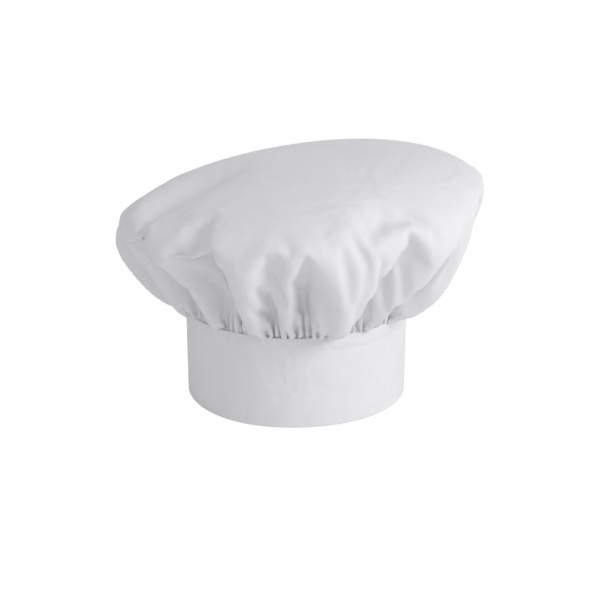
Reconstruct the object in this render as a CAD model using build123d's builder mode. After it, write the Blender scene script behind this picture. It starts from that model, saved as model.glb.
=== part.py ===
"""A gathered chef's toque: a round of cotton poplin gathered into a folded, stiffened head band.

The band is one strip folded in half along its lower edge, with an interlining inside. At the back its
outer end steps out and runs on as a closure tab, which laps over the other end and holds by hook and loop.
Frame: the origin is on the band's axis at its lower edge, +Z is up and -Y is the front.
"""

import os
from math import cos, degrees, pi, radians, sin

from build123d import *

# Head band, in millimetres
head_circumference = 580.0
band_height = 78.0
cloth = 0.4  # one layer of poplin
interlining_thickness = 0.8
lower_edge_fillet = 0.3

# Gathered edge of the crown, sewn in between the band's two layers
seam_allowance = 9.0
gathered_thickness = 2.0
swell_length = 3.0  # the band's outer layer slopes out to the gathered edge over this height

# Closure at the back: azimuths in degrees, anticlockwise from +X as seen from above
step_start = 70.0  # where the band's outer end leaves the ring
underlap_start = 77.0
tab_lap = 34.0
tab_edge_clearance = 0.5  # the tab stays this far inside the band's two edges
running_clearance = 0.3

# Hook-and-loop tapes
tape_width = 25.0
tape_thickness = 1.0
loop_tape_start = 84.0
loop_tape_sweep = 42.0
hook_tape_start = 86.0
hook_tape_sweep = 22.0

# Sewing thread
thread = 0.25
stitch_inset = 2.0  # from a tape's or a label's edge to its line of stitches
topstitch_height = 6.0
tab_end_inset = 3.0
gathering_depth = 1.5  # from the band's upper edge down to the line that holds the gathers

# Care label, sewn flat to the lining
label_width = 34.0
label_height = 22.0
label_thickness = 0.15
label_azimuth = 140.0
label_base = 28.0
label_thread = 0.1

# Crown
crown_wall = 1.0
rim_radius = 156.0
rim_height = 163.0
rim_offset = 4.0  # the crown sits this far towards +X
rim_tilt = 6.0  # degrees, the +X side up
crown_rise = 45.0  # from the rim's plane to the top of the crown
rim_gap = 0.3  # between the crown's side and its top
shoulder_reach = 0.86  # how full the top is: share of the radius at the shoulder's middle point
shoulder_rise = 0.56  # and share of the rise there

# Slit in the crown, above the closure
slit_width = 2.0
slit_height = 18.0
hem_width = 6.0
hem_thickness = 0.5
bartack_height = 1.6
bartack_width = 8.0

# Worked out from the sizes above
bore_radius = round(head_circumference / (2 * pi), 2)
core_radius = bore_radius + cloth
band_radius = core_radius + interlining_thickness + cloth
swell_radius = core_radius + gathered_thickness + cloth
swell_top = band_height - seam_allowance
core_top = swell_top - swell_length
band_thickness = band_radius - bore_radius
band_sweep = 360.0 - underlap_start + step_start
loop_face = band_radius + tape_thickness
hook_face = loop_face + running_clearance
tab_radius = max(hook_face + tape_thickness, swell_radius + running_clearance)  # the tab's inner face
tab_face = tab_radius + band_thickness
hinge_radius = tab_radius + band_thickness / 2
hinge_azimuth = underlap_start
step_end = hinge_azimuth - degrees((band_thickness / 2 + running_clearance) / hinge_radius)
tab_end = hinge_azimuth + tab_lap
tab_base = tab_edge_clearance
tab_top = band_height - tab_edge_clearance
tape_base = (core_top - tape_width) / 2
slit_azimuth = (step_start + underlap_start) / 2
crown_base_radius = core_radius + gathered_thickness / 2 + crown_wall / 2


def radial_plane(azimuth):
    """The upright plane through the axis at this azimuth: local x is the radius, local y is the height."""
    a = radians(azimuth)
    return Plane(origin=(0, 0, 0), x_dir=(cos(a), sin(a), 0), z_dir=(sin(a), -cos(a), 0))


def polar(radius, azimuth):
    a = radians(azimuth)
    return (radius * cos(a), radius * sin(a))


def ring_strip(r0, r1, z0, z1, start, sweep, mode=Mode.ADD):
    """A strip of the section r0..r1 by z0..z1 bent round the axis, added to or cut from the part."""
    with BuildSketch(radial_plane(start)) as section:
        with Locations(((r0 + r1) / 2, (z0 + z1) / 2)):
            Rectangle(r1 - r0, z1 - z0)
    revolve(section.sketch, axis=Axis.Z, revolution_arc=sweep, mode=mode)


def stitched_frame(r0, r1, z0, z1, start, sweep, width=thread, mode=Mode.ADD):
    """A rectangle of stitches just inside a piece's edges, as four strips that meet."""
    inset = degrees(stitch_inset / r0)
    turn = degrees(width / r0)
    first = start + inset
    last = start + sweep - inset
    low = z0 + stitch_inset
    high = z1 - stitch_inset
    ring_strip(r0, r1, low, low + width, first, last - first, mode)
    ring_strip(r0, r1, high - width, high, first, last - first, mode)
    ring_strip(r0, r1, low, high, first, turn, mode)
    ring_strip(r0, r1, low, high, last - turn, turn, mode)


def write(part, name):
    part.label = name
    export_step(part, f"parts/{name}.step")


os.makedirs("parts", exist_ok=True)


# ------------------------------------------------------------------------------------------------ band
def step_layer(inner, outer, z0, z1):
    """One layer of the band's outer end where it steps out over the underlap, by its depth in the band."""
    with BuildSketch(Plane.XY.offset(z0)) as layer:
        with BuildLine():
            Polyline(
                polar(bore_radius + inner, step_start),
                polar(bore_radius + outer, step_start),
                polar(tab_radius + outer, step_end),
                polar(tab_radius + inner, step_end),
                close=True,
            )
        make_face()
    extrude(layer.sketch, amount=z1 - z0)


lining_depth = cloth
facing_depth = cloth + interlining_thickness

with BuildPart() as band_cloth:
    with BuildSketch(radial_plane(underlap_start)) as band_profile:
        with BuildLine():
            Polyline(
                (bore_radius, 0),
                (bore_radius, band_height),
                (core_radius, band_height),
                (core_radius, cloth),
                (band_radius - cloth, cloth),
                (band_radius - cloth, core_top),
                (swell_radius - cloth, swell_top),
                (swell_radius - cloth, band_height),
                (swell_radius, band_height),
                (swell_radius, swell_top),
                (band_radius, core_top),
                (band_radius, 0),
                close=True,
            )
        make_face()
        fillet(band_profile.vertices().group_by(Axis.Y)[0].sort_by(Axis.X)[-1], lower_edge_fillet)
    revolve(axis=Axis.Z, revolution_arc=band_sweep)
    step_layer(0, lining_depth, 0, band_height)
    step_layer(facing_depth, band_thickness, 0, band_height)
    step_layer(0, band_thickness, 0, cloth)
write(band_cloth.part, "band_cloth")

with BuildPart() as band_interlining:
    ring_strip(core_radius, band_radius - cloth, cloth, core_top, underlap_start, band_sweep)
    step_layer(lining_depth, facing_depth, cloth, band_height)
write(band_interlining.part, "band_interlining")

with BuildPart() as topstitching:
    ring_strip(
        band_radius, band_radius + thread, topstitch_height, topstitch_height + thread,
        underlap_start, band_sweep,
    )
write(topstitching.part, "band_topstitching")

with BuildPart() as lining_stitching:
    ring_strip(bore_radius, core_radius, band_height, band_height + thread, underlap_start, band_sweep)
write(lining_stitching.part, "lining_stitching")

# ----------------------------------------------------------------------------------------- crown's edge
gathering_base = band_height - gathering_depth - thread
gathering_inner = core_radius + (gathered_thickness - thread) / 2
gathering_line = (
    gathering_inner, gathering_inner + thread, gathering_base, gathering_base + thread,
    underlap_start, band_sweep,
)

with BuildPart() as crown_gathers:
    ring_strip(
        core_radius, core_radius + gathered_thickness, swell_top, band_height, underlap_start, band_sweep
    )
    ring_strip(*gathering_line, mode=Mode.SUBTRACT)
write(crown_gathers.part, "crown_gathers")

with BuildPart() as gathering_stitching:
    ring_strip(*gathering_line)
write(gathering_stitching.part, "gathering_stitching")

# ------------------------------------------------------------------------------------------------ crown
# The side opens out from the band along this curve, given as shares of the way to the rim
side_stations = ((0.0, 0.0), (0.41, 0.17), (0.83, 0.59), (1.0, 1.0))


def station_plane(share):
    """The plane of the side's section at this share of its height. It tilts and shifts towards the rim."""
    height = band_height + share * (rim_height - band_height)
    lean = radians(rim_tilt * share)
    return Plane(
        origin=(rim_offset * share, 0, height), x_dir=(cos(lean), 0, sin(lean)),
        z_dir=(-sin(lean), 0, cos(lean)),
    )


def side_solid(inset, mode=Mode.ADD):
    """The side as a solid from the band up to the rim, this far inside its outer face."""
    sections = []
    for reach, share in side_stations:
        radius = crown_base_radius + reach * (rim_radius - crown_base_radius) - inset
        with BuildSketch(station_plane(share)) as section:
            Circle(radius)
        sections.append(section.sketch)
    loft(sections, mode=mode)


def slit_block(width, height, depth, mode):
    """A block through the side above the closure, standing on the band's upper edge."""
    with BuildSketch(Plane.XY.offset(band_height)) as block:
        with Locations(Location((0, 0, 0), (0, 0, slit_azimuth))):
            with Locations((crown_base_radius + depth / 2, 0)):
                Rectangle(2 * depth, width)
    extrude(block.sketch, amount=height, mode=mode)


slit_reach = 0.8 * (rim_radius - crown_base_radius)

with BuildPart() as crown_side:
    side_solid(0)
    side_solid(crown_wall, Mode.SUBTRACT)
    slit_block(slit_width, slit_height, slit_reach, Mode.SUBTRACT)
write(crown_side.part, "crown_side")

rim_plane = station_plane(1.0)
top_plane = Plane(origin=rim_plane.origin, x_dir=rim_plane.x_dir, z_dir=(0, -1, 0))


def top_solid(inset, mode=Mode.ADD):
    """The top as a solid dome on the rim's plane, this far inside its outer face."""
    radius = rim_radius - inset
    rise = crown_rise - inset
    with BuildSketch(top_plane) as profile:
        with BuildLine():
            Spline(
                (radius, rim_gap),
                (shoulder_reach * radius, shoulder_rise * rise),
                (0, rise),
                tangents=((0, 1), (-1, 0)),
            )
            Polyline((0, rise), (0, rim_gap), (radius, rim_gap))
        make_face()
    revolve(profile.sketch, axis=Axis(rim_plane.origin, rim_plane.z_dir), mode=mode)


with BuildPart() as crown_top:
    top_solid(0)
    top_solid(crown_wall, Mode.SUBTRACT)
write(crown_top.part, "crown_top")

# -------------------------------------------------------------------------------------------- crown slit
with BuildPart() as slit_hem:
    side_solid(crown_wall)
    side_solid(crown_wall + hem_thickness, Mode.SUBTRACT)
    slit_block(slit_width + 2 * hem_width, slit_height + hem_width, slit_reach, Mode.INTERSECT)
    slit_block(slit_width, slit_height, slit_reach, Mode.SUBTRACT)
    hem_floor = Plane.XY.offset(band_height + 2 * thread)
    split(bisect_by=hem_floor, keep=Keep.TOP)
write(slit_hem.part, "slit_hem")

with BuildPart() as slit_bartack:
    side_solid(-thread)
    side_solid(0, Mode.SUBTRACT)
    slit_block(bartack_width, slit_height + bartack_height, slit_reach, Mode.INTERSECT)
    split(bisect_by=Plane.XY.offset(band_height + slit_height), keep=Keep.TOP)
write(slit_bartack.part, "slit_bartack")

# ---------------------------------------------------------------------------------------------- closure
tab_arc = degrees(cloth / tab_radius)
tab_core_start = hinge_azimuth + degrees(band_thickness / tab_radius)

with BuildPart() as closure_tab:
    ring_strip(tab_radius, tab_face, tab_base, tab_top, hinge_azimuth, tab_lap)
    with BuildSketch(Plane.XY.offset(tab_base)):
        with Locations(polar(hinge_radius, hinge_azimuth)):
            Circle(band_thickness / 2)
    extrude(amount=tab_top - tab_base)
    ring_strip(
        tab_radius + lining_depth, tab_radius + facing_depth, tab_base + cloth, tab_top,
        tab_core_start, tab_end - tab_arc - tab_core_start, Mode.SUBTRACT,
    )
write(closure_tab.part, "closure_tab")

with BuildPart() as tab_interlining:
    ring_strip(
        tab_radius + lining_depth, tab_radius + facing_depth, tab_base + cloth, tab_top,
        tab_core_start, tab_end - tab_arc - tab_core_start,
    )
write(tab_interlining.part, "tab_interlining")

tab_stitch_end = tab_end - degrees(tab_end_inset / tab_face)
tab_stitch_top = tab_top - topstitch_height
with BuildPart() as tab_topstitching:
    tab_stitch_sweep = tab_stitch_end - tab_core_start
    tab_stitch_turn = degrees(thread / tab_face)
    for height in (topstitch_height, tab_stitch_top):
        ring_strip(tab_face, tab_face + thread, height, height + thread, tab_core_start, tab_stitch_sweep)
    ring_strip(
        tab_face, tab_face + thread, topstitch_height, tab_stitch_top + thread,
        tab_stitch_end - tab_stitch_turn, tab_stitch_turn,
    )
write(tab_topstitching.part, "tab_topstitching")

tape_top = tape_base + tape_width

loop_frame = (loop_face - thread, loop_face, tape_base, tape_top, loop_tape_start, loop_tape_sweep)
with BuildPart() as loop_tape:
    ring_strip(band_radius, loop_face, tape_base, tape_top, loop_tape_start, loop_tape_sweep)
    stitched_frame(*loop_frame, mode=Mode.SUBTRACT)
write(loop_tape.part, "loop_tape")

with BuildPart() as loop_tape_stitching:
    stitched_frame(*loop_frame)
write(loop_tape_stitching.part, "loop_tape_stitching")

with BuildPart() as hook_tape:
    ring_strip(hook_face, tab_radius, tape_base, tape_top, hook_tape_start, hook_tape_sweep)
write(hook_tape.part, "hook_tape")

with BuildPart() as hook_tape_stitching:
    stitched_frame(tab_face, tab_face + thread, tape_base, tape_top, hook_tape_start, hook_tape_sweep)
write(hook_tape_stitching.part, "hook_tape_stitching")

# ------------------------------------------------------------------------------------------- care label
label_face = bore_radius - label_thickness
label_sweep = degrees(label_width / bore_radius)
label_start = label_azimuth - label_sweep / 2
label_frame = (
    label_face, label_face + label_thread, label_base, label_base + label_height, label_start, label_sweep,
)
with BuildPart() as care_label:
    ring_strip(label_face, bore_radius, label_base, label_base + label_height, label_start, label_sweep)
    stitched_frame(*label_frame, mode=Mode.SUBTRACT)
write(care_label.part, "care_label")

with BuildPart() as care_label_stitching:
    stitched_frame(*label_frame)
write(care_label_stitching.part, "care_label_stitching")
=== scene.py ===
from math import cos, degrees, hypot, pi, radians, sin, sqrt

import bpy
import numpy as np
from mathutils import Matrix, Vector, geometry
from mathutils.bvhtree import BVHTree


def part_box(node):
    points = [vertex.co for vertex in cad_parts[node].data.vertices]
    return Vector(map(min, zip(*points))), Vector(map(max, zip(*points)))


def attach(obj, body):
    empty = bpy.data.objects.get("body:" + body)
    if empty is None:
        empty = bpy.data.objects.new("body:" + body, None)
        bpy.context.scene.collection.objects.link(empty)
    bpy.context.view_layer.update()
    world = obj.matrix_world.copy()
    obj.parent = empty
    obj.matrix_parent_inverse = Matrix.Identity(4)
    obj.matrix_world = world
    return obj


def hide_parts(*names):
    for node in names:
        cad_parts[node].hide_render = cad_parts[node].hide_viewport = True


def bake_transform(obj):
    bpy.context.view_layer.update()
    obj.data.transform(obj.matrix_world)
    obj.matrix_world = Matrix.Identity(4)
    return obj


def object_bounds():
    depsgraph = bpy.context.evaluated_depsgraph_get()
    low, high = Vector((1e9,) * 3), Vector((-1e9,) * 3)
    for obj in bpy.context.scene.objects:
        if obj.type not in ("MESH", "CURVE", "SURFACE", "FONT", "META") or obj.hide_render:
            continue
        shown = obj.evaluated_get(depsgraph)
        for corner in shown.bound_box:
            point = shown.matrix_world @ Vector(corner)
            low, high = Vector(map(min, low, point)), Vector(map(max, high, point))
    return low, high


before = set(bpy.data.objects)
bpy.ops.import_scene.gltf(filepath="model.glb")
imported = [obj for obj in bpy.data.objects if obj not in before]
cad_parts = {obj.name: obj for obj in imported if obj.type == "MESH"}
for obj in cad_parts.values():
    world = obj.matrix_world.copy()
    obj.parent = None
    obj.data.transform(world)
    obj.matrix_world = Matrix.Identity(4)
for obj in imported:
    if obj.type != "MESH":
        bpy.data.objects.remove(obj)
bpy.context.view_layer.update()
bpy.ops.object.select_all(action="DESELECT")
scene = bpy.context.scene

# ------------------------------------------------------------------------------------------- the set
# A white floor that runs out of sight, a white surround and one large soft lamp, up on the right and in
# front. The camera stands a little above the hat, far enough off to keep its sides upright.
camera_distance = 1.2
camera_rise = radians(20.06)
aim_down = radians(18.27)
aim_right = radians(0.18)
band_middle = (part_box("band_cloth")[0].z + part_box("band_cloth")[1].z) / 2

bpy.ops.object.camera_add(
    location=(0, -camera_distance * cos(camera_rise), band_middle + camera_distance * sin(camera_rise)),
    rotation=(pi / 2 - aim_down, 0, -aim_right),
)
camera = bpy.context.object
camera.name = "front_camera"
camera.data.sensor_width = 36
camera.data.lens = 83.2
camera.data.clip_start = 0.02
scene.camera = camera

bpy.ops.mesh.primitive_plane_add(size=12, location=(0, 0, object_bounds()[0][2]))
floor = bpy.context.object
floor.name = "floor"
floor_finish = bpy.data.materials.new("white_floor")
floor.data.materials.append(floor_finish)
scene.view_settings.view_transform = "Standard"
scene.world = bpy.data.worlds.new("white_surround")


def seen_as_white(tree, lit, output):
    """Makes what the camera sees directly plain white, while it still lights the hat as it did."""
    tree.nodes.new("ShaderNodeLightPath")
    seen = tree.nodes["Light Path"]
    white = tree.nodes.new("ShaderNodeEmission")
    white.inputs["Strength"].default_value = 1.02
    either = tree.nodes.new("ShaderNodeMixShader")
    tree.links.new(seen.outputs["Is Camera Ray"], either.inputs["Fac"])
    tree.links.new(lit.outputs[0], either.inputs[1])
    tree.links.new(white.outputs[0], either.inputs[2])
    tree.links.new(either.outputs["Shader"], output.inputs["Surface"])


floor_finish.use_nodes = True
floor_nodes = floor_finish.node_tree.nodes
floor_nodes["Principled BSDF"].inputs["Base Color"].default_value = (0.95, 0.95, 0.95, 1)
floor_nodes["Principled BSDF"].inputs["Roughness"].default_value = 0.9
seen_as_white(floor_finish.node_tree, floor_nodes["Principled BSDF"], floor_nodes["Material Output"])
scene.world.use_nodes = True
world_nodes = scene.world.node_tree.nodes
world_nodes["Background"].inputs["Color"].default_value = (0.97, 0.96, 1, 1)
world_nodes["Background"].inputs["Strength"].default_value = 0.63
seen_as_white(scene.world.node_tree, world_nodes["Background"], world_nodes["World Output"])

lamp_place = Vector((1.6, -1.07, 1.2))
crown_middle = Vector((0, 0, 0.13))
bpy.ops.object.light_add(type="AREA", location=lamp_place)
lamp = bpy.context.object
lamp.name = "key_lamp"
lamp.data.size = 0.9
lamp.data.energy = 18
lamp.rotation_euler = (crown_middle - lamp_place).to_track_quat("-Z", "Y").to_euler()

# ----------------------------------------------------------------------------------------- the crown
# One round of white cotton poplin, drawn up all round its edge and sewn into the band. It stands by its
# own stiffness: the top is pushed up towards one side and the fullness hangs in folds over the band.
seam_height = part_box("band_cloth")[1].z
seam_radius = 0.0937
round_radius = 0.28
tucked = 0.004  # this much of the round's edge lies down inside the band

# The crown before it is folded. Its widest line, the rim, leans up to the right, where its peak is too
crown_reach = 0.1544
rim_height = 0.165
rim_shift = 0.004
rim_lean = radians(6.1)
top_rise = 0.038
peak_shift = 0.030
right_trim = 0.020  # how much slimmer the side is on the right
side_flare = 1.9
side_roundness = 1.28
top_flatness = 2.75
top_roundness = 1.2

slit_azimuth = radians(73.5)
slit_length = 0.024
slit_half_width = 0.0012


def side_curve(share):
    """Radius and height of the unfolded side, from the seam at 0 to the widest line at 1."""
    turn = share * pi / 2
    radius = seam_radius + (crown_reach - seam_radius) * np.sin(turn) ** side_flare
    height = seam_height + (rim_height - seam_height) * (1 - np.cos(turn) ** side_roundness)
    return radius, height


def top_curve(share):
    """Radius and height of the unfolded top, from the middle at 0 to the widest line at 1."""
    height = rim_height + top_rise * np.clip(1 - share**top_flatness, 0, 1) ** (1 / top_roundness)
    return crown_reach * share, height


# The curve from the middle of the round down to the seam, and how far along the cloth each point lies
top_share = np.sin(np.linspace(0, pi / 2, 90))
side_share = np.linspace(1, 0, 90)[1:]
curve_radius = np.concatenate([top_curve(top_share)[0], side_curve(side_share)[0]])
curve_height = np.concatenate([top_curve(top_share)[1], side_curve(side_share)[1]])
curve_level = np.concatenate([2 - top_share, side_share])
steps = np.hypot(np.diff(curve_radius), np.diff(curve_height))
curve_along = np.concatenate([[0], np.cumsum(steps)])
curve_along *= (round_radius - tucked) / curve_along[-1]


def crown_surface(along, azimuth):
    """Points of the smooth crown at this distance along the cloth from its middle, and their levels."""
    radius = np.interp(along, curve_along, curve_radius)
    height = np.interp(along, curve_along, curve_height)
    level = np.interp(along, curve_along, curve_level)
    tilt = np.clip(level, 0, 1)
    peak = np.clip(level - 1, 0, 1)
    from_slit = np.abs((azimuth - slit_azimuth + pi) % (2 * pi) - pi)
    in_band = np.clip((degrees(1) * from_slit - 5) / 4, 0, 1)
    height = height - np.clip(along - curve_along[-1], 0, None) * in_band
    radius = radius - right_trim * np.clip(np.cos(azimuth), 0, 1) ** 1.5 * np.sin(pi * tilt)
    x = radius * np.cos(azimuth) + rim_shift * tilt + peak_shift * peak
    y = radius * np.sin(azimuth)
    z = height + np.tan(rim_lean) * radius * np.cos(azimuth) * tilt
    return np.stack([x, y, z], 1), level, radius


def round_of_cloth(edge_points, spacing_edge, spacing_middle, seed):
    """A flat round as scattered points, closer towards the gathered edge, and the triangles between.

    It has a short narrow slit in from its edge, where the closure will be.
    """
    rng = np.random.default_rng(seed)
    rings = []
    radius = round_radius
    count = edge_points
    while radius > spacing_middle:
        offset = rng.uniform(0, 2 * pi)
        angle = offset + np.arange(count) * 2 * pi / count
        nudge = 0.0 if len(rings) < 3 else 0.18
        gap = 2 * pi * radius / count
        angle = angle + rng.uniform(-nudge, nudge, count) * gap / radius
        out = radius + rng.uniform(-nudge, nudge, count) * gap
        rings.append(np.stack([out * np.cos(angle), out * np.sin(angle)], 1))
        from_edge = round_radius - radius
        spacing = min(spacing_edge + 0.045 * from_edge, 0.0029 + 0.016 * from_edge, spacing_middle)
        radius -= spacing * 0.87
        count = max(int(round(2 * pi * radius / spacing)), 6)
    points = np.concatenate(rings + [np.zeros((1, 2))])
    along_slit = np.array([cos(slit_azimuth), sin(slit_azimuth)])
    across_slit = np.array([-sin(slit_azimuth), cos(slit_azimuth)])
    inward = points @ along_slit
    aside = np.abs(points @ across_slit)
    beside = (inward > round_radius - slit_length - 0.0012) & (aside < slit_half_width + 0.001)
    points = points[~beside]
    rows = np.linspace(round_radius - slit_length, round_radius, 14)
    banks = [rows[:, None] * along_slit + side * slit_half_width * across_slit for side in (-1, 1)]
    first = len(points)
    points = np.concatenate([points] + banks)
    number = len(rows)
    rim = [(first + i, first + i + 1) for i in range(number - 1)]
    rim += [(a + number, b + number) for a, b in rim] + [(first, first + number)]
    found = geometry.delaunay_2d_cdt([Vector(p) for p in points], rim, [], 0, 1e-7)
    flat = np.array([tuple(v) for v in found[0]])
    faces = np.array([tuple(f) for f in found[2]])
    centre = flat[faces].mean(1)
    open_face = (centre @ along_slit > rows[0]) & (np.abs(centre @ across_slit) < slit_half_width * 0.98)
    return flat, [tuple(f) for f in faces[~open_face].tolist()]


flat_points, triangles = round_of_cloth(1000, 0.0018, 0.0035, 5)

# The folds, each by the points it runs through as (azimuth in degrees, level: 0 at the seam, 1 at the
# widest line, 2 in the middle of the top), how far it stands out or in, and its half width
front_folds = (
    (((-131, 0.1), (-131, 0.5), (-134, 0.8), (-142, 1.0), (-149, 1.02)), 0.011, 0.009),
    (((-125, 0.1), (-126, 0.5), (-130, 0.75), (-136, 0.95)), -0.014, 0.009),
    (((-140, 0.1), (-142, 0.5), (-148, 0.85), (-156, 1.0)), -0.014, 0.011),
    (((-119, 0.1), (-120, 0.45), (-125, 0.68), (-131, 0.89)), 0.009, 0.007),
    (((-117, 0.1), (-117, 0.45), (-120, 0.8), (-130, 1.2)), -0.022, 0.013),
    (((-113, 0.1), (-114, 0.3), (-112, 0.75), (-115, 1.0), (-124, 1.18)), 0.012, 0.009),
    (((-106, 0.1), (-106, 0.38), (-104, 0.68), (-102, 0.98), (-99, 1.12)), 0.010, 0.008),
    (((-101, 0.1), (-101, 0.4), (-99, 0.8), (-99, 1.12)), -0.014, 0.012),
    (((-97, 0.1), (-98, 0.4), (-99, 0.65), (-101, 0.84)), 0.005, 0.006),
    (((-93, 0.1), (-93, 0.4), (-94, 0.6), (-93, 0.85), (-89, 0.9)), 0.009, 0.007),
    (((-89, 0.1), (-88, 0.6), (-89, 0.87)), -0.010, 0.010),
    (((-79, 0.1), (-76, 0.45), (-76, 0.63), (-65, 0.85)), 0.006, 0.008),
    (((-74, 0.1), (-71, 0.34), (-66, 0.6), (-60, 0.85), (-51, 1.02)), 0.009, 0.008),
    (((-66, 0.1), (-64, 0.34), (-60, 0.6), (-54, 0.85), (-46, 0.98)), -0.011, 0.013),
    (((-56, 0.1), (-52, 0.44), (-46, 0.82), (-36, 0.95), (-26, 1.04)), 0.013, 0.010),
    (((-49, 0.1), (-46, 0.35), (-41, 0.6)), -0.010, 0.010),
    (((-38, 0.1), (-34, 0.5), (-28, 0.8)), 0.007, 0.010),
    (((-78, 0.98), (-70, 1.06), (-64, 1.12), (-54, 1.08), (-46, 1.02)), -0.005, 0.009),
    (((-153, 1.07), (-163, 1.11), (-178, 1.14), (-187, 1.15)), 0.0055, 0.012),
    (((-153, 1.07), (-163, 1.22), (-172, 1.39), (-181, 1.61)), -0.006, 0.016),
)


def back_folds(first, last, number, seed):
    """Ridges with pockets between them, unevenly spaced, from one azimuth round to another."""
    rng = np.random.default_rng(seed)
    folds = []
    pitch = (last - first) / number
    for i in range(number):
        at = first + (i + 0.5 + rng.uniform(-0.28, 0.28)) * pitch
        lean = rng.uniform(-9, 9)
        top = rng.uniform(0.72, 1.0)
        size = rng.uniform(0.8, 1.25)
        path = ((at, 0.1), (at + 0.2 * lean, 0.45), (at + 0.6 * lean, 0.75 * top), (at + lean, top))
        folds.append((path, 0.011 * size, 0.010 * size))
        between = at + 0.5 * pitch * rng.uniform(0.85, 1.1)
        low = rng.uniform(0.7, 1.1)
        pocket = ((between, 0.1), (between + 0.3 * lean, 0.5), (between + lean, low))
        folds.append((pocket, -0.013 * size, 0.012 * size))
    return folds


all_folds = list(front_folds) + back_folds(-30, 212, 13, 3)


def fold_height(level, azimuth, radius):
    """How far the folds push each point out of the smooth crown."""
    total = np.zeros(len(level))
    reach = np.interp(level, curve_level[::-1], (round_radius - curve_along)[::-1])
    for path, depth, width in all_folds:
        line = np.array(path, float)
        run = np.concatenate([np.linspace(line[i], line[i + 1], 12)[:-1] for i in range(len(line) - 1)])
        run = np.concatenate([run, line[-1:]])
        share = np.linspace(0, 1, len(run))
        line_reach = np.interp(run[:, 1], curve_level[::-1], (round_radius - curve_along)[::-1])
        best = np.full(len(level), 1e9)
        along = np.zeros(len(level))
        for j in range(len(run)):
            turn = (azimuth - radians(run[j, 0]) + pi) % (2 * pi) - pi
            gap = np.hypot(turn * radius, reach - line_reach[j])
            nearer = gap < best
            best[nearer] = gap[nearer]
            along[nearer] = share[j]
        wide = width * (0.45 + 0.75 * np.sin(pi * np.clip(along * 0.85 + 0.08, 0, 1)))
        fade = np.clip((1 - along) * 3, 0, 1) * np.clip(0.35 + along * 3, 0, 1)
        roundness = 1.2 if depth > 0 else 1.6
        total += depth * fade * np.exp(-((best / wide) ** roundness))
    return total * np.clip((reach - tucked) / 0.02, 0, 1)


def gather_ripple(reach, azimuth):
    """The small even puckers that the gathering thread draws, merging two by two away from the seam."""
    wander = 0.5 * np.sin(5 * azimuth + 1) + 0.8 * np.sin(11 * azimuth + 2)
    at_thread = np.clip(reach / 0.003, 0, 1) * np.exp(-np.abs(reach) / 0.015)
    near = 0.0026 * np.sin(104 * azimuth + wander) * at_thread
    beyond = np.clip((reach - 0.006) / 0.02, 0, 1) * np.exp(-((reach / 0.06) ** 2))
    return near + 0.0035 * np.sin(52 * azimuth + wander / 2) * beyond


flat_along = np.hypot(flat_points[:, 0], flat_points[:, 1])
flat_azimuth = np.arctan2(flat_points[:, 1], flat_points[:, 0])
smooth_points, flat_level, flat_radius = crown_surface(flat_along, flat_azimuth)


def vertex_normals(points, faces):
    """The outward direction at each point of a triangle mesh."""
    tri = np.array(faces)
    face_normal = np.cross(points[tri[:, 1]] - points[tri[:, 0]], points[tri[:, 2]] - points[tri[:, 0]])
    normal = np.zeros_like(points)
    for corner in range(3):
        for axis in range(3):
            normal[:, axis] += np.bincount(tri[:, corner], face_normal[:, axis], len(points))
    return normal / np.linalg.norm(normal, axis=1)[:, None]


def edges_and_bends(faces):
    """The mesh's edges, and the pairs of points that face each other across an edge."""
    tri = np.array(faces)
    sides = np.concatenate([tri[:, [0, 1]], tri[:, [1, 2]], tri[:, [2, 0]]])
    facing = np.concatenate([tri[:, 2], tri[:, 0], tri[:, 1]])
    low = sides.min(1)
    high = sides.max(1)
    key = low.astype(np.int64) * (tri.max() + 1) + high
    order = np.argsort(key, kind="stable")
    same = key[order][1:] == key[order][:-1]
    first = order[np.concatenate([[True], ~same])]
    twice = np.flatnonzero(same)
    edges = np.stack([low[first], high[first]], 1)
    return edges, np.stack([facing[order[twice]], facing[order[twice + 1]]], 1)


def in_groups(pairs, number):
    """Splits pairs of points into groups in which no point comes twice, so a group moves at once."""
    used = [0] * number
    group = np.zeros(len(pairs), int)
    for i, (a, b) in enumerate(pairs.tolist()):
        free = ~(used[a] | used[b])
        bit = free & -free
        group[i] = bit.bit_length() - 1
        used[a] |= bit
        used[b] |= bit
    return [np.flatnonzero(group == g) for g in range(group.max() + 1)]


def own_lengths(pairs, fullness):
    """How far apart two points lie on the cloth: its full width round the crown, its length down it."""
    a, b = pairs.T
    apart = smooth_points[b] - smooth_points[a]
    middle = flat_points[a] + flat_points[b]
    azimuth = np.arctan2(middle[:, 1], middle[:, 0])
    tilt = np.clip((flat_level[a] + flat_level[b]) / 2, 0, 1)
    round_way = np.stack([-np.sin(azimuth), np.cos(azimuth), -np.tan(rim_lean) * np.sin(azimuth) * tilt], 1)
    round_way /= np.linalg.norm(round_way, axis=1)[:, None]
    across = (apart * round_way).sum(1)
    down = apart - round_way * across[:, None]
    return np.sqrt((down**2).sum(1) + (across * (fullness[a] + fullness[b]) / 2) ** 2)


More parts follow.
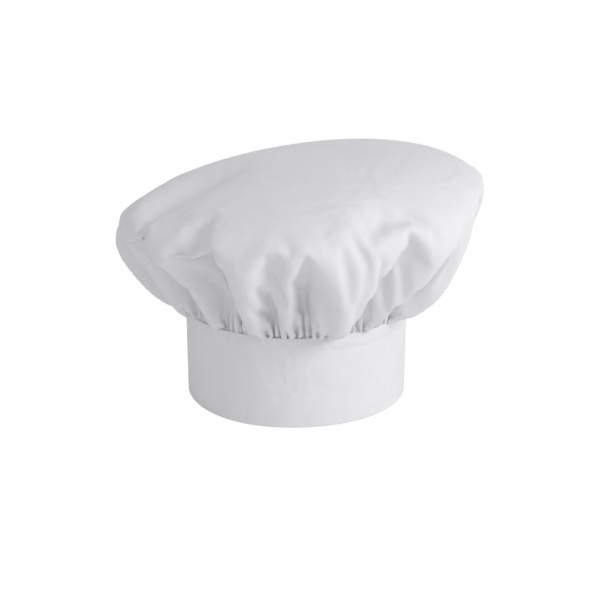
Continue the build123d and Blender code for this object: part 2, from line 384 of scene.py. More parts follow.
def let_cloth_settle(start, faces, fullness, free, puff, stiffness, reach, hold, steps, ironing):
    """Moves a cloth, folded into shape, until its edges have their own lengths again.

    puff pushes it outwards, stiffness keeps it from creasing sharply, reach is the furthest that a point
    moves, and hold draws it back to where it started. Ironing evens out the sharpest kinks.
    """
    edges, bends = edges_and_bends(faces)
    springs = []
    for pairs, pull, only_push in ((edges, 1.0, False), (bends, stiffness, True)):
        length = own_lengths(pairs, fullness)
        for group in in_groups(pairs, len(start)):
            a, b = pairs[group].T
            share = pull / np.maximum(free[a] + free[b], 1e-9)
            springs.append((a, b, length[group], share * free[a], share * free[b], only_push))
    points = start.copy()
    speed = np.zeros_like(points)
    time_step = 1 / 60
    for _ in range(steps):
        push = vertex_normals(points, faces) * puff
        speed = (speed + push * time_step) * 0.93
        before = points.copy()
        points = points + speed * time_step * free[:, None]
        for _ in range(8):
            for a, b, length, share_a, share_b, only_push in springs:
                apart = points[b] - points[a]
                now = np.sqrt((apart * apart).sum(1)) + 1e-12
                error = 1 - length / now
                if only_push:
                    error = np.minimum(error, 0)
                points[a] += apart * (error * share_a)[:, None]
                points[b] -= apart * (error * share_b)[:, None]
        points += (start - points) * hold
        moved = points - start
        distance = np.linalg.norm(moved, axis=1) + 1e-12
        points = start + moved * np.minimum(1, reach / distance)[:, None]
        speed = (points - before) / time_step
    a, b = edges.T
    neighbours = np.bincount(edges.ravel(), minlength=len(points))[:, None]
    for _ in range(ironing):
        around = np.zeros_like(points)
        np.add.at(around, a, points[b])
        np.add.at(around, b, points[a])
        points += 0.4 * free[:, None] * (around / neighbours - points)
    return points


fold_strength = 2.8  # times the depths in the lists of folds, before the cloth settles
outward = vertex_normals(smooth_points, triangles)
push_out = fold_strength * fold_height(flat_level, flat_azimuth, flat_radius)
push_out += gather_ripple(round_radius - tucked - flat_along, flat_azimuth)
crown_points = smooth_points + outward * push_out[:, None]

# How many times wider the cloth is, going round, than the crown it lies on. The gathers are held below
# their full width so that neighbouring folds keep clear, and the top lies flat.
most_fullness = 1.6
all_fullness = flat_along / np.maximum(flat_radius, 1e-6)
eased = most_fullness * (1 - np.exp(-(all_fullness - 1) / most_fullness))
below_top = np.clip((1.45 - flat_level) / 0.6, 0, 1)
at_seam = np.clip(1 - (round_radius - tucked - flat_along) / 0.014, 0, 1)
crown_fullness = 1 + eased * below_top**2 * (3 - 2 * below_top) + 0.9 * at_seam
free_points = np.where(flat_along > round_radius - tucked + 0.0005, 0.0, 1.0)

crown_points = let_cloth_settle(
    crown_points, triangles, crown_fullness, free_points,
    puff=0.1, stiffness=0.06, reach=0.025, hold=0.01, steps=60, ironing=1,
)

# ------------------------------------------------------------------------------ finishes of the cloths
# Everything is white cotton but the tapes and the label: a plain weave, soft creases where it was folded
# or pressed, and an uneven, faintly warm tone from washing. The same three effects serve every cloth.


def new_effect(name, inputs, outputs):
    """An empty node group with these (name, kind) sockets, and its input and output nodes."""
    effect = bpy.data.node_groups.new(name, "ShaderNodeTree")
    for direction, sockets in (("INPUT", inputs), ("OUTPUT", outputs)):
        for socket, kind in sockets:
            effect.interface.new_socket(socket, in_out=direction, socket_type="NodeSocket" + kind)
    return effect, effect.nodes.new("NodeGroupInput"), effect.nodes.new("NodeGroupOutput")


def node_in(tree, kind, **settings):
    """A new node of this kind. A setting named after an input sets the input, any other the node."""
    node = tree.nodes.new("ShaderNode" + kind)
    for key, value in settings.items():
        socket = key.replace("_", " ").title()
        if socket in node.inputs and not hasattr(node, key):
            node.inputs[socket].default_value = value
        else:
            setattr(node, key, value)
    return node


# Crossing threads: two waves at right angles, with an uneven thickness along each thread
plain_weave, given, made = new_effect(
    "plain_weave", (("Cloth", "Vector"), ("Threads", "Float")), (("Height", "Float"),)
)
link = plain_weave.links.new
turns = node_in(plain_weave, "VectorMath", operation="SCALE")
split = node_in(plain_weave, "SeparateXYZ")
warp = node_in(plain_weave, "Math", operation="SINE")
weft = node_in(plain_weave, "Math", operation="SINE")
crossing = node_in(plain_weave, "Math", operation="MULTIPLY")
stretch = node_in(plain_weave, "VectorMath", operation="MULTIPLY")
stretch.inputs[1].default_value = (900, 60, 1)
slubs = node_in(plain_weave, "TexNoise", scale=1.0, detail=2.0)
woven = node_in(plain_weave, "Math", operation="ADD")
link(given.outputs["Cloth"], turns.inputs[0])
link(given.outputs["Threads"], turns.inputs["Scale"])
link(turns.outputs["Vector"], split.inputs["Vector"])
link(split.outputs["X"], warp.inputs[0])
link(split.outputs["Y"], weft.inputs[0])
link(warp.outputs[0], crossing.inputs[0])
link(weft.outputs[0], crossing.inputs[1])
link(given.outputs["Cloth"], stretch.inputs[0])
link(stretch.outputs["Vector"], slubs.inputs["Vector"])
link(crossing.outputs[0], woven.inputs[0])
link(slubs.outputs["Fac"], woven.inputs[1])
link(woven.outputs[0], made.inputs["Height"])

# Soft creases: long bent waves of two sizes, and how worn or laundered each place is
soft_creases, given, made = new_effect(
    "soft_creases", (("Place", "Vector"), ("Size", "Float")), (("Height", "Float"), ("Wear", "Float"))
)
link = soft_creases.links.new
long_waves = node_in(soft_creases, "TexNoise", detail=3.0, roughness=0.55, distortion=0.9)
fine_scale = node_in(soft_creases, "Math", operation="MULTIPLY")
fine_scale.inputs[1].default_value = 4.7
fine_waves = node_in(soft_creases, "TexNoise", detail=2.0, roughness=0.6, distortion=1.6)
sharpen = node_in(soft_creases, "MapRange", interpolation_type="SMOOTHERSTEP")
sharpen.inputs["From Min"].default_value = 0.38
sharpen.inputs["From Max"].default_value = 0.66
less_fine = node_in(soft_creases, "Math", operation="MULTIPLY")
less_fine.inputs[1].default_value = 0.22
creased = node_in(soft_creases, "Math", operation="ADD")
link(given.outputs["Place"], long_waves.inputs["Vector"])
link(given.outputs["Size"], long_waves.inputs["Scale"])
link(given.outputs["Size"], fine_scale.inputs[0])
link(given.outputs["Place"], fine_waves.inputs["Vector"])
link(fine_scale.outputs[0], fine_waves.inputs["Scale"])
link(long_waves.outputs["Fac"], sharpen.inputs["Value"])
link(fine_waves.outputs["Fac"], less_fine.inputs[0])
link(sharpen.outputs["Result"], creased.inputs[0])
link(less_fine.outputs[0], creased.inputs[1])
link(creased.outputs[0], made.inputs["Height"])
link(fine_waves.outputs["Fac"], made.inputs["Wear"])


def cloth_finish(name, tone, worn, roughness, sheen, threads, weave_depth, crease_size, crease_depth):
    """A white cloth: its two tones, its shine, how many threads to the metre and how deep its relief is."""
    finish = bpy.data.materials.new(name)
    finish.use_nodes = True
    tree = finish.node_tree
    shader = tree.nodes["Principled BSDF"]
    shader.inputs["Sheen Weight"].default_value = sheen
    shader.inputs["Sheen Roughness"].default_value = 0.45
    shader.inputs["Specular IOR Level"].default_value = 0.3
    place = node_in(tree, "TexCoord")
    flat_place = node_in(tree, "UVMap", uv_map="cloth")
    weave = tree.nodes.new("ShaderNodeGroup")
    weave.node_tree = plain_weave
    weave.inputs["Threads"].default_value = threads * pi
    creases = tree.nodes.new("ShaderNodeGroup")
    creases.node_tree = soft_creases
    creases.inputs["Size"].default_value = crease_size
    colour = node_in(tree, "Mix", data_type="RGBA")
    colour.inputs[6].default_value = (*tone, 1)
    colour.inputs[7].default_value = (*worn, 1)
    rough = node_in(tree, "MapRange")
    rough.inputs["To Min"].default_value = roughness - 0.08
    rough.inputs["To Max"].default_value = roughness + 0.08
    creased_face = node_in(tree, "Bump", distance=crease_depth)
    woven_face = node_in(tree, "Bump", distance=weave_depth)
    tree.links.new(flat_place.outputs["UV"], weave.inputs["Cloth"])
    tree.links.new(place.outputs["Object"], creases.inputs["Place"])
    tree.links.new(creases.outputs["Wear"], colour.inputs["Factor"])
    tree.links.new(creases.outputs["Wear"], rough.inputs["Value"])
    tree.links.new(creases.outputs["Height"], creased_face.inputs["Height"])
    tree.links.new(weave.outputs["Height"], woven_face.inputs["Height"])
    tree.links.new(creased_face.outputs["Normal"], woven_face.inputs["Normal"])
    tree.links.new(colour.outputs[2], shader.inputs["Base Color"])
    tree.links.new(rough.outputs["Result"], shader.inputs["Roughness"])
    tree.links.new(woven_face.outputs["Normal"], shader.inputs["Normal"])
    return finish


poplin = cloth_finish(
    "white_poplin", (0.83, 0.83, 0.84), (0.79, 0.79, 0.785), 0.72, 0.12, 2900, 0.00002, 11, 0.0011
)

# ---------------------------------------------------------------------------------- the crown as a piece
# The settled round with its real thickness. It is sewn to the band.
poplin_thickness = 0.0004


def cloth_mesh(name, points, faces, on_cloth, thickness, finish):
    """A piece of cloth from its middle surface and each point's place on the flat cloth, in metres."""
    mesh = bpy.data.meshes.new(name)
    mesh.from_pydata(points.tolist(), [], [tuple(f) for f in faces])
    corners = np.zeros(len(mesh.loops), int)
    mesh.loops.foreach_get("vertex_index", corners)
    mesh.uv_layers.new(name="cloth").data.foreach_set("uv", on_cloth[corners].ravel().astype(np.float32))
    mesh.update()
    piece = bpy.data.objects.new(name, mesh)
    scene.collection.objects.link(piece)
    mesh.materials.append(finish)
    bpy.ops.object.select_all(action="DESELECT")
    piece.select_set(True)
    bpy.context.view_layer.objects.active = piece
    shell = piece.modifiers.new("thickness", "SOLIDIFY")
    shell.thickness = thickness
    shell.offset = 0
    bpy.ops.object.modifier_apply(modifier=shell.name)
    bpy.ops.object.shade_smooth_by_angle(angle=radians(55))
    return piece


crown = cloth_mesh("crown_cloth", crown_points, triangles, flat_points, poplin_thickness, poplin)
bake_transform(crown)
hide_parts("crown_side", "crown_top", "crown_gathers")

# The slit above the closure: its edges are turned in and hemmed, and a bartack closes its upper end
hem_width = 0.006
hem_depth = 1.3 * poplin_thickness
along_slit = np.array([cos(slit_azimuth), sin(slit_azimuth)])
across_slit = np.array([-sin(slit_azimuth), cos(slit_azimuth)])
slit_end = round_radius - slit_length
face_table = np.array(triangles)
face_middle = flat_points[face_table].mean(1)
beside_slit = (face_middle @ along_slit > slit_end - hem_width) & (face_middle @ along_slit < curve_along[-1])
beside_slit &= np.abs(face_middle @ across_slit) < slit_half_width + hem_width
hem_faces = face_table[beside_slit]
hem_own, hem_index = np.unique(hem_faces, return_inverse=True)
cloth_out = vertex_normals(crown_points, triangles)
hem_points = crown_points[hem_own] - cloth_out[hem_own] * hem_depth
slit_hem = cloth_mesh(
    "slit_hem_cloth", hem_points, hem_index.reshape(-1, 3), flat_points[hem_own], poplin_thickness, poplin
)
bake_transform(slit_hem)
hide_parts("slit_hem")


# ---------------------------------------------------------------------------------------------- the thread
# White spun polyester, two plies twisted. One stitch is a short stretch of it that dips at both ends, and
# a line of stitches is a copy of it at each place.
thread_finish = bpy.data.materials.new("white_thread")
thread_finish.use_nodes = True
thread_tree = thread_finish.node_tree
thread_shader = thread_tree.nodes["Principled BSDF"]
thread_shader.inputs["Roughness"].default_value = 0.5
thread_shader.inputs["Sheen Weight"].default_value = 0.25
thread_place = node_in(thread_tree, "TexCoord")
plies = node_in(thread_tree, "TexWave", wave_type="BANDS", bands_direction="DIAGONAL", scale=900.0)
# Painted shade: the thread's colour goes darker where the ply bands are low, in the grooves between the
# plies, and lighter on their crests
ply_groove_shade = node_in(thread_tree, "Mix", data_type="RGBA")
ply_groove_shade.inputs[6].default_value = (0.74, 0.74, 0.75, 1)
ply_groove_shade.inputs[7].default_value = (0.86, 0.86, 0.86, 1)
ply_face = node_in(thread_tree, "Bump", distance=0.00003)
thread_tree.links.new(thread_place.outputs["Object"], plies.inputs["Vector"])
thread_tree.links.new(plies.outputs["Fac"], ply_groove_shade.inputs["Factor"])
thread_tree.links.new(plies.outputs["Fac"], ply_face.inputs["Height"])
thread_tree.links.new(ply_groove_shade.outputs[2], thread_shader.inputs["Base Color"])
thread_tree.links.new(ply_face.outputs["Normal"], thread_shader.inputs["Normal"])


def one_stitch(length, width):
    """A stretch of thread along X that bulges up and dips at its ends. It is deleted once it is copied."""
    bpy.ops.object.select_all(action="DESELECT")
    bpy.ops.mesh.primitive_uv_sphere_add(segments=6, ring_count=5, radius=0.5, rotation=(0, pi / 2, 0))
    stitch = bpy.context.object
    stitch.scale = (width * 0.8, width, length)
    bpy.ops.object.transform_apply(location=False, rotation=True, scale=True)
    return stitch


def copies_of(small, name, places, forward, outward, finish):
    """One piece made of a copy of a small shape at each place, turned to its forward and outward."""
    forward = forward / np.linalg.norm(forward, axis=1)[:, None]
    outward = outward - forward * (outward * forward).sum(1)[:, None]
    outward = outward / np.linalg.norm(outward, axis=1)[:, None]
    aside = np.cross(outward, forward)
    own = np.array([tuple(v.co) for v in small.data.vertices])
    faces = [tuple(p.vertices) for p in small.data.polygons]
    turned = own[None, :, 0:1] * forward[:, None] + own[None, :, 1:2] * aside[:, None]
    points = places[:, None] + turned + own[None, :, 2:3] * outward[:, None]
    copied = [tuple(i * len(own) + v for v in face) for i in range(len(places)) for face in faces]
    bpy.data.objects.remove(small)
    mesh = bpy.data.meshes.new(name)
    mesh.from_pydata(points.reshape(-1, 3).tolist(), [], copied)
    mesh.update()
    piece = bpy.data.objects.new(name, mesh)
    scene.collection.objects.link(piece)
    mesh.materials.append(finish)
    bpy.ops.object.select_all(action="DESELECT")
    piece.select_set(True)
    bpy.context.view_layer.objects.active = piece
    bpy.ops.object.shade_smooth()
    return piece


# The bartack: a close satin stitch across the end of the slit, laid on the crown's outer face
flat_finder = BVHTree.FromPolygons([(x, y, 0) for x, y in flat_points.tolist()], triangles)


def on_crown(flat):
    """Where points of the flat round lie on the settled crown, and the outward direction there."""
    places = []
    ways_out = []
    for x, y in flat:
        spot, _, index, _ = flat_finder.find_nearest(Vector((x, y, 0)))
        corners = triangles[index]
        flat_corners = [Vector((*flat_points[i], 0)) for i in corners]
        places.append(geometry.barycentric_transform(
            spot, *flat_corners, *[Vector(crown_points[i]) for i in corners]
        ))
        ways_out.append(cloth_out[list(corners)].mean(0))
    return np.array(places), np.array(ways_out)


bartack_half = 0.004
bartack_rows = np.linspace(slit_end - 0.0016, slit_end - 0.0001, 9)
bartack_left, _ = on_crown([along_slit * r - across_slit * bartack_half for r in bartack_rows])
bartack_middle, bartack_out = on_crown([along_slit * r for r in bartack_rows])
bartack_right, _ = on_crown([along_slit * r + across_slit * bartack_half for r in bartack_rows])
bartack_ends = np.concatenate([(bartack_left + bartack_middle) / 2, (bartack_middle + bartack_right) / 2])
bartack_ways = np.concatenate([bartack_middle - bartack_left, bartack_right - bartack_middle])
bartack_up = np.concatenate([bartack_out, bartack_out])
slit_bartack = copies_of(
    one_stitch(0.0048, 0.00028), "slit_bartack_thread", bartack_ends + bartack_up * 0.0003,
    bartack_ways, bartack_up, thread_finish,
)
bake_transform(slit_bartack)
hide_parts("slit_bartack")

# ------------------------------------------------------------------------------------------------ the band
# One long strip of poplin folded along the band's lower edge round an interlining. Its facing swells over
# the crown's gathered edge near the top. At the back its outer end steps out over the underlap.
# A place on it is a radius in the ring, an azimuth counted on past a full turn, and a height.
band_height = seam_height
lining_middle = 0.09251  # radii of the middle of the cloth
facing_middle = 0.09371
swell_middle = 0.09491
ring_start = radians(77)
ring_end = radians(430)
step_end = radians(436.35)
step_out = 0.0039
closure_azimuth = radians(95)
facing_low = 0.0655  # where the facing starts to swell over the gathers


def smooth(share):
    """An even rise from 0 to 1 that starts and ends gently."""
    share = np.clip(share, 0, 1)
    return share * share * (3 - 2 * share)


def on_band(radius, azimuth, height):
    """Points of the band or the tab. The band's soft waves fade out beside the closure."""
    from_closure = np.abs((azimuth - closure_azimuth + pi) % (2 * pi) - pi)
    waving = smooth((from_closure - 0.75) / 0.6)
    wave = 0.0006 * np.sin(3 * azimuth + 0.6) + 0.0004 * np.sin(8 * azimuth + 2) * height / band_height
    lift = 0.0003 * (1 + np.sin(4 * azimuth + 1)) * waving * (1 - height / band_height)
    out = radius + wave * waving + step_out * smooth((azimuth - ring_end) / (step_end - ring_end))
    return np.stack([out * np.cos(azimuth), out * np.sin(azimuth), height + lift], -1)


def evenly(first, last, gap):
    """Numbers from first to last that are about this far apart."""
    return np.linspace(first, last, max(int(round(abs(last - first) / gap)), 1) + 1)


def profile_line(corners, usual, gap=0.002):
    """Points along a line through these (radius, height) corners, about this far apart.

    Lines with the same usual corners have the same number of points.
    """
    line = [np.array(corners[:1], float)]
    for i in range(len(corners) - 1):
        usual_length = hypot(usual[i + 1][0] - usual[i][0], usual[i + 1][1] - usual[i][1])
        share = evenly(0, 1, gap / max(usual_length, gap))[1:, None]
        line.append(np.array(corners[i]) * (1 - share) + np.array(corners[i + 1]) * share)
    return np.concatenate(line)


def round_corner(middle, height, radius, first, last, number=5):
    """Corners of a small round fold, from one angle to another in degrees."""
    angles = np.radians(np.linspace(first, last, number))
    return [(middle + radius * cos(a), height + radius * sin(a)) for a in angles]


def swept(azimuths, lines, closed=False):
    """The points, faces and flat places of a cloth with one profile line at each azimuth."""
    lines = np.array(lines)
    columns, rows = lines.shape[:2]
    turn = np.repeat(azimuths[:, None], rows, 1)
    points = on_band(lines[:, :, 0], turn, lines[:, :, 1]).reshape(-1, 3)
    down = np.linalg.norm(np.diff(lines[0], axis=0), axis=1)
    down = np.concatenate([[0], np.cumsum(down)])
    flat = np.stack([turn * facing_middle, np.repeat(down[None], columns, 0)], -1).reshape(-1, 2)
    last = rows if closed else rows - 1
    faces = []
    for i in range(columns - 1):
        for j in range(last):
            a = i * rows + j
            b = i * rows + (j + 1) % rows
            faces.append((a, b, b + rows, a + rows))
    return points, faces, flat


topstitch_height = 0.006
stitch_pitch = 0.003
stitch_length = 0.86 * stitch_pitch
thread_width = 0.00026
needle_line = 0.0011  # half the width of the groove that a line of stitches draws in


def stitch_dip(azimuth, height, lines):
    """How far the stitches draw the facing in along these heights, a little more at each needle hole."""
    dip = 0
    for line in lines:
        holes = 1 + 0.35 * np.cos(2 * pi * azimuth * facing_middle / stitch_pitch)
        dip = dip + 0.00011 * holes * np.exp(-(((height - line) / needle_line) ** 2))
    return dip


def band_corners(outer, low):
    """Corners of the cloth's middle line: facing's turned-in edge, facing, lower fold, lining."""
    corners = [(outer - 0.00044, band_height - 0.0085), (outer - 0.00044, band_height - 0.0004)]
    corners += round_corner(outer - 0.00022, band_height - 0.00042, 0.00022, 180, 0)
    corners += [(outer, low + 0.0042), (outer - 0.15 * (outer - facing_middle), low + 0.0028)]
    corners += [(facing_middle + 0.15 * (outer - facing_middle), low + 0.0012), (facing_middle, low)]
    corners += [(facing_middle, topstitch_height + step) for step in (0.0026, 0.0013, 0, -0.0013, -0.0026)]
    corners += round_corner((facing_middle + lining_middle) / 2, 0.0008, 0.0006, 0, -180, 9)
    corners += [(lining_middle, band_height - 0.0004)]
    corners += round_corner(lining_middle + 0.0002, band_height - 0.0004, 0.0002, 180, 0)[1:]
    corners += [(lining_middle + 0.0004, band_height - 0.0065)]
    return corners


usual_band = band_corners(swell_middle, facing_low)


def band_profile(azimuth):
    """The cloth's middle line at one azimuth, swelling over the gathers and drawn in by the stitches."""
    swell = float(smooth((ring_end - azimuth) / radians(8)))
    outer = facing_middle + (swell_middle - facing_middle) * swell
    low = facing_low + 0.0006 * sin(9 * azimuth) + 0.0004 * sin(23 * azimuth + 1)
    line = profile_line(band_corners(outer, low), usual_band)
    on_facing = line[:, 0] > (facing_middle + lining_middle) / 2
    line[:, 0] -= on_facing * stitch_dip(azimuth, line[:, 1], [topstitch_height])
    over_gathers = on_facing * smooth((line[:, 1] - low) / 0.006) * swell
    line[:, 0] += over_gathers * (0.00010 * sin(104 * azimuth) + 0.00012 * sin(61 * azimuth + 1))
    return line


ring_turns = evenly(ring_start, ring_end, 0.0019 / facing_middle)
step_turns = evenly(ring_end, step_end, 0.0009 / facing_middle)[1:]
band_turns = np.concatenate([ring_turns, step_turns])
band_rows = [band_profile(a) for a in band_turns]
band_points, band_faces, band_flat = swept(band_turns, band_rows)
band_fabric = cloth_mesh("band_fabric", band_points, band_faces, band_flat, poplin_thickness, poplin)
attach(band_fabric, "band")
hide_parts("band_cloth")

# The interlining inside it: a stiff non-woven strip, felted and slightly creamy
interlining_finish = cloth_finish(
    "bonded_interlining", (0.78, 0.77, 0.73), (0.72, 0.71, 0.67), 0.85, 0.05, 700, 0.00003, 160, 0.0003
)
core_middle = (lining_middle + facing_middle) / 2
core_low = 0.0016
core_high = 0.0645
core_thickness = 0.00076


def plain_strip(radius, azimuths, low, high, gap=0.0015):
    """The middle surface of a strip that follows the band at one radius."""
    ends = [(radius, high), (radius, low)]
    line = profile_line(ends, ends, gap)
    return swept(azimuths, [line] * len(azimuths))


band_core = cloth_mesh(
    "band_interlining_felt", *plain_strip(core_middle, band_turns[::2], core_low, core_high, gap=0.006),
    core_thickness, interlining_finish,
)
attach(band_core, "band")
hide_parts("band_interlining")


# Its three lines of stitches: round the lower edge, through the gathers, and along the lining's upper edge
def stitched_line(name, radius, height, azimuths, replaced):
    """A line of stitches round the band at one height, with the middle of a stitch at each azimuth."""
    heights = 0 * azimuths + height
    here = on_band(radius, azimuths, heights)
    ahead = on_band(radius, azimuths + 0.002, heights)
    outward = np.stack([np.cos(azimuths), np.sin(azimuths), 0 * azimuths], 1)
    stitch = one_stitch(stitch_length, thread_width)
    piece = copies_of(stitch, name, here, ahead - here, outward, thread_finish)
    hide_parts(replaced)
    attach(piece, "band")


facing_face = facing_middle + poplin_thickness / 2
whole_round = evenly(ring_start + 0.02, step_end - 0.01, stitch_pitch / facing_middle)
gathered_round = evenly(ring_start + 0.02, ring_end - 0.03, stitch_pitch / facing_middle)
stitched_line(
    "band_topstitching_thread", facing_face - 0.00010, topstitch_height, whole_round, "band_topstitching"
)
stitched_line(
    "gathering_stitching_thread", 0.09385, band_height - 0.0017, gathered_round, "gathering_stitching"
)
stitched_line(
    "lining_stitching_thread", lining_middle + 0.0002, band_height + 0.00005, gathered_round,
    "lining_stitching",
)

# ------------------------------------------------------------------------------------------ the closure tab
# The strip's outer end, closed all round and topstitched. It runs on from where the step ends and laps over
# the underlap.
tab_end = radians(471)
tab_radius = 0.097
tab_low = 0.0005
tab_high = band_height - 0.0005
tab_stitch_high = tab_high - 0.006
tab_fold = 0.0006  # how far each of its two layers lies from its middle
end_fold = 0.0008  # how far in from its edges the layers start to close up
closing_up = end_fold / tab_radius
tab_turns = evenly(step_end, tab_end - closing_up, 0.0012 / facing_middle)
tab_turns = np.concatenate([tab_turns, tab_end - closing_up * np.array([0.7, 0.45, 0.22, 0.08, 0])])


def tab_corners(half):
    """Corners of the closed line round the tab's two layers, each at this distance from its middle."""
    top = round_corner(0, 0, 1, 180, 0, 9)
    corners = [(core_middle + half * x, tab_high - end_fold + tab_fold * z) for x, z in top]
    bottom = round_corner(0, 0, 1, 0, -180, 9)
    corners += [(core_middle + half * x, tab_low + end_fold + tab_fold * z) for x, z in bottom]
    return corners + corners[:1]


def tab_profile(azimuth):
    """The line round the tab at one azimuth, drawn together at its end."""
    from_end = (tab_end - azimuth) * tab_radius
    half = tab_fold * sqrt(max(1 - max(1 - from_end / end_fold, 0) ** 2, 0))
    line = profile_line(tab_corners(half), tab_corners(tab_fold))[:-1]
    outside = line[:, 0] > core_middle + 0.8 * half
    line[:, 0] -= outside * stitch_dip(azimuth, line[:, 1], [topstitch_height, tab_stitch_high])
    return line


tab_points, tab_faces, tab_flat = swept(tab_turns, [tab_profile(a) for a in tab_turns], closed=True)
tab_fabric = cloth_mesh("closure_tab_fabric", tab_points, tab_faces, tab_flat, poplin_thickness, poplin)
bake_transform(tab_fabric)
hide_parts("closure_tab")

free_start = radians(438)
core_turns = evenly(free_start, tab_end - 0.0012 / tab_radius, 0.003 / facing_middle)
tab_core = cloth_mesh(
    "tab_interlining_felt", *plain_strip(core_middle, core_turns, 0.0018, tab_high - 0.0014, gap=0.006),
    core_thickness, interlining_finish,
)
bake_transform(tab_core)
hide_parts("tab_interlining")

tab_face_radius = 0.0977
stitch_turn = stitch_pitch / tab_face_radius
tab_stitch_end = tab_end - 0.003 / tab_face_radius


def stitched_outline(name, radius, first, last, low, high, replaced, sides=(1, 1, 1, 1)):
    """A rectangle of stitches on the band or the tab: its low, high, first and last sides, if asked for."""
    across = evenly(first, last, stitch_turn)
    across = (across[1:] + across[:-1]) / 2
    upright = evenly(low, high, stitch_pitch)
    upright = (upright[1:] + upright[:-1]) / 2
    turns = [across, across, 0 * upright + first, 0 * upright + last]
    heights = [0 * across + low, 0 * across + high, upright, upright]
    ways = [0, 0, 1, 1]
    places = []
    forward = []
    outward = []
    for used, turn, height, up in zip(sides, turns, heights, ways):
        if used:
            here = on_band(radius, turn, height)
            ahead = on_band(radius, turn + 0.002 * (1 - up), height + 0.0002 * up)
            places.append(here)
            forward.append(ahead - here)
            outward.append(np.stack([np.cos(turn), np.sin(turn), 0 * turn], 1))
    piece = copies_of(
        one_stitch(stitch_length, thread_width), name, np.concatenate(places),
        np.concatenate(forward), np.concatenate(outward), thread_finish,
    )
    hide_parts(replaced)
    return piece


tab_thread = stitched_outline(
    "tab_topstitching_thread", facing_face - 0.00008, free_start, tab_stitch_end,
    topstitch_height, tab_stitch_high, "tab_topstitching", sides=(1, 1, 0, 1),
)
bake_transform(tab_thread)

# --------------------------------------------------------------------------------- hook and loop tapes
# Woven nylon tapes, sewn on along their edges. The underlap has the loops, so it is soft where it might
# touch hair, and the tab's inner face has the hooks.
tape_low = 0.0205
tape_high = 0.0455
tape_thickness = 0.0004
tape_inset = 0.002  # from the tape's edge to its stitches
pile_inset = 0.0015
pile_start = 0.02  # radians that stay bare at the tape's ends
loop_tape_finish = cloth_finish(
    "loop_tape_nylon", (0.80, 0.80, 0.81), (0.75, 0.75, 0.76), 0.6, 0.5, 1400, 0.00004, 60, 0.0001
)
hook_tape_finish = cloth_finish(
    "hook_tape_nylon", (0.82, 0.82, 0.83), (0.77, 0.77, 0.78), 0.42, 0.1, 1400, 0.00005, 60, 0.0001
)


def small_bend(segments, radius, thickness, first, last):
    """A bent fibre in the XZ plane, from one angle to another in degrees, standing on Z = 0."""
    bpy.ops.object.select_all(action="DESELECT")
    bpy.ops.mesh.primitive_circle_add(
        vertices=4, radius=thickness / 2, fill_type="NGON", location=(radius, 0, 0)
    )
    fibre = bpy.context.object
    bpy.ops.object.mode_set(mode="EDIT")
    bpy.ops.mesh.select_all(action="SELECT")
    bpy.ops.mesh.spin(steps=segments, angle=radians(last - first), center=(0, 0, 0), axis=(0, -1, 0))
    bpy.ops.object.mode_set(mode="OBJECT")
    bpy.ops.object.transform_apply(location=True, rotation=True, scale=True)
    return fibre


def scattered(first, last, low, high, gap, seed, uneven):
    """Places over a strip in staggered rows, each moved a little at random."""
    rng = np.random.default_rng(seed)
    turns = evenly(first, last, gap / facing_middle)
    heights = evenly(low, high, gap * 0.87)
    turn = turns[None] + np.where(np.arange(len(heights)) % 2, 0.5, 0)[:, None] * gap / facing_middle
    turn = turn + rng.uniform(-uneven, uneven, turn.shape) * gap / facing_middle
    height = heights[:, None] + rng.uniform(-uneven, uneven, turn.shape) * gap
    return np.minimum(turn.ravel(), last), np.clip(height.ravel(), low, high), rng


loop_first = radians(84)
loop_last = radians(126)
loop_base = facing_face + 0.0002
loop_tape = cloth_mesh(
    "loop_tape_base", *plain_strip(loop_base, evenly(loop_first, loop_last, 0.016), tape_low, tape_high),
    tape_thickness, loop_tape_finish,
)
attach(loop_tape, "band")
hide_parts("loop_tape")

loop_turn, loop_height, loop_chance = scattered(
    loop_first + pile_start, loop_last - pile_start, tape_low + pile_inset, tape_high - pile_inset,
    gap=0.00085, seed=21, uneven=0.4,
)
loop_angle = loop_chance.uniform(0, pi, len(loop_turn))
loop_out = np.stack([np.cos(loop_turn), np.sin(loop_turn), 0 * loop_turn], 1)
loop_side = np.stack([-np.sin(loop_turn), np.cos(loop_turn), 0 * loop_turn], 1)
loop_way = loop_side * np.cos(loop_angle)[:, None] + np.array([0, 0, 1]) * np.sin(loop_angle)[:, None]
loops = copies_of(
    small_bend(5, 0.00042, 0.00007, 0, 180), "loop_tape_loops",
    on_band(loop_base + 0.00018, loop_turn, loop_height), loop_way, loop_out, loop_tape_finish,
)
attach(loops, "band")
loop_thread = stitched_outline(
    "loop_tape_stitching_thread", loop_base + 0.00026, loop_first + tape_inset / facing_middle,
    loop_last - tape_inset / facing_middle, tape_low + tape_inset, tape_high - tape_inset,
    "loop_tape_stitching",
)
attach(loop_thread, "band")

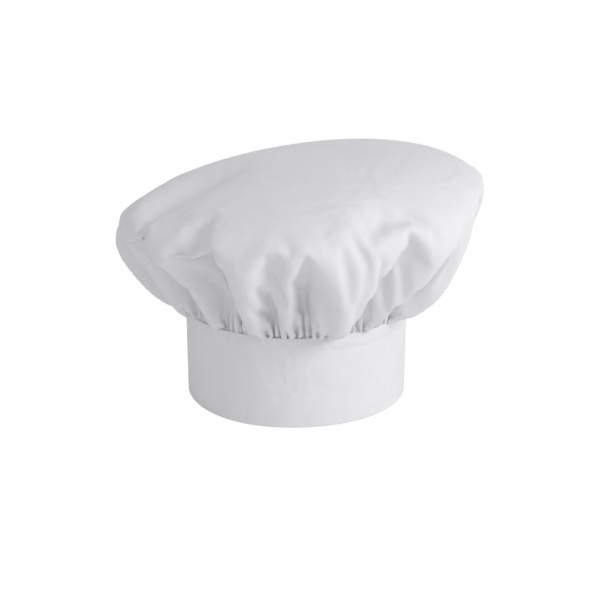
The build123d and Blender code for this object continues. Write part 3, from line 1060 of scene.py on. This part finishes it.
hook_first = radians(446)
hook_last = radians(468)
hook_base = lining_middle - poplin_thickness / 2 - 0.0002
hook_tape = cloth_mesh(
    "hook_tape_base", *plain_strip(hook_base, evenly(hook_first, hook_last, 0.016), tape_low, tape_high),
    tape_thickness, hook_tape_finish,
)
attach(hook_tape, "tab")
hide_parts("hook_tape")

hook_turn, hook_height, _ = scattered(
    hook_first + pile_start, hook_last - pile_start, tape_low + pile_inset, tape_high - pile_inset,
    gap=0.0012, seed=22, uneven=0.08,
)
hook_in = -np.stack([np.cos(hook_turn), np.sin(hook_turn), 0 * hook_turn], 1)
hook_way = np.stack([-np.sin(hook_turn), np.cos(hook_turn), 0 * hook_turn], 1)
hook_way = hook_way * np.where(np.arange(len(hook_turn)) % 2, 1, -1)[:, None]
hooks = copies_of(
    small_bend(6, 0.00035, 0.00016, 0, 235), "hook_tape_hooks",
    on_band(hook_base - 0.00018, hook_turn, hook_height), hook_way, hook_in, hook_tape_finish,
)
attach(hooks, "tab")
hook_thread = stitched_outline(
    "hook_tape_stitching_thread", facing_face + 0.00002, hook_first + tape_inset / tab_radius,
    hook_last - tape_inset / tab_radius, tape_low + tape_inset, tape_high - tape_inset,
    "hook_tape_stitching",
)
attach(hook_thread, "tab")

# ------------------------------------------------------------------------------------------ the care label
# A blank woven satin label on the lining, left of the closure, sewn down along all four edges.
label_finish = cloth_finish(
    "label_satin", (0.85, 0.85, 0.86), (0.80, 0.80, 0.81), 0.32, 0.3, 5200, 0.00001, 40, 0.0003
)
label_azimuth = radians(140)
lining_face = lining_middle - poplin_thickness / 2
label_half = 0.017 / lining_face
label_low = 0.028
label_high = 0.050
label_thickness = 0.00014
label_inset = 0.002
label_middle = lining_face - 0.000075
label_turns = evenly(label_azimuth - label_half, label_azimuth + label_half, 0.012)
label = cloth_mesh(
    "care_label_satin", *plain_strip(label_middle, label_turns, label_low, label_high),
    label_thickness, label_finish,
)
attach(label, "band")
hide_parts("care_label")
label_stitched_half = label_half - label_inset / 0.0923
label_thread = stitched_outline(
    "care_label_stitching_thread", label_middle - 0.00006, label_azimuth - label_stitched_half,
    label_azimuth + label_stitched_half, label_low + label_inset, label_high - label_inset,
    "care_label_stitching",
)
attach(label_thread, "band")
